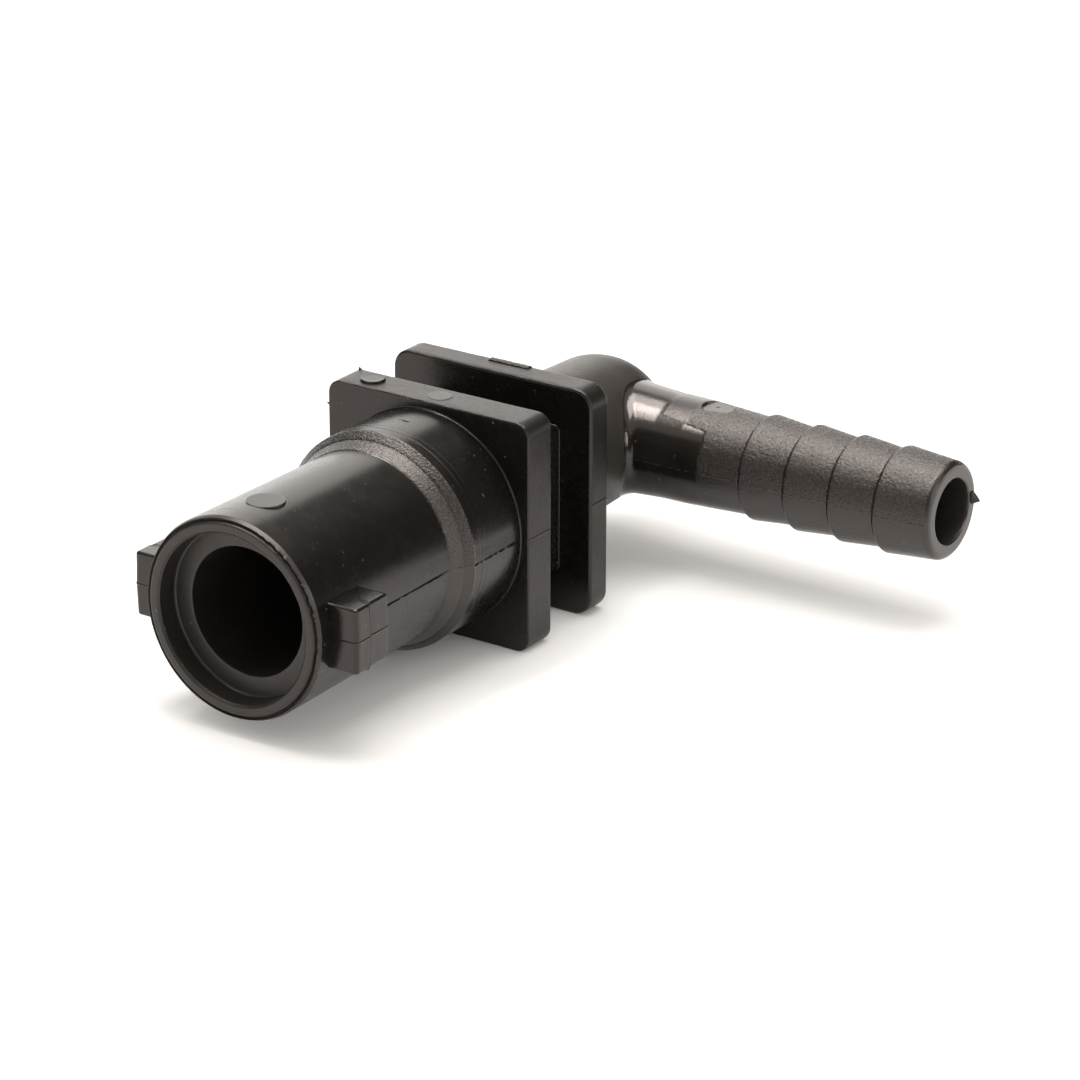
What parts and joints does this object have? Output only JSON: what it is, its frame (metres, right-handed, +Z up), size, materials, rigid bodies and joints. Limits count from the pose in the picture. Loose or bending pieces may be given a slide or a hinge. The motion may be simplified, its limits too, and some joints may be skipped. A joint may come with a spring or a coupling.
{
  "type": "bayonet hose elbow",
  "caption": "Black moulded elbow pipe fitting: bayonet spigot with two lugs, paired square mounting flanges and a barbed hose tail at a right angle.",
  "frame": {"origin": "centre of the open end of the spigot, on the axis of the seal recess, in the plane of the lip", "axes": "+Y along the spigot from the mouth towards the elbow, +X along the hose tail, +Z up, square to both, with the flanges' lower edges down"},
  "size_m": [0.0774, 0.0956, 0.0334],
  "materials": {
    "smooth_plastic": "semi-gloss moulded black plastic",
    "grained_plastic": "fine spark-eroded grain, black plastic"
  },
  "bodies": {
    "root": {"mouth_rim": "smooth_plastic", "bayonet_barrel": "smooth_plastic", "bayonet_lug_right": "smooth_plastic", "bayonet_lug_left": "smooth_plastic", "grained_band": "grained_plastic", "collar": "smooth_plastic", "front_flange": "smooth_plastic", "slot_neck": "smooth_plastic", "rear_flange": "smooth_plastic", "elbow_hub": "smooth_plastic", "hose_stem": "grained_plastic", "barb_1": "grained_plastic", "barb_2": "grained_plastic", "barb_3": "grained_plastic", "barb_4": "grained_plastic", "ejector_pad": "smooth_plastic", "gate_tab": "smooth_plastic", "tip_spur": "grained_plastic"}
  },
  "joints": []
}
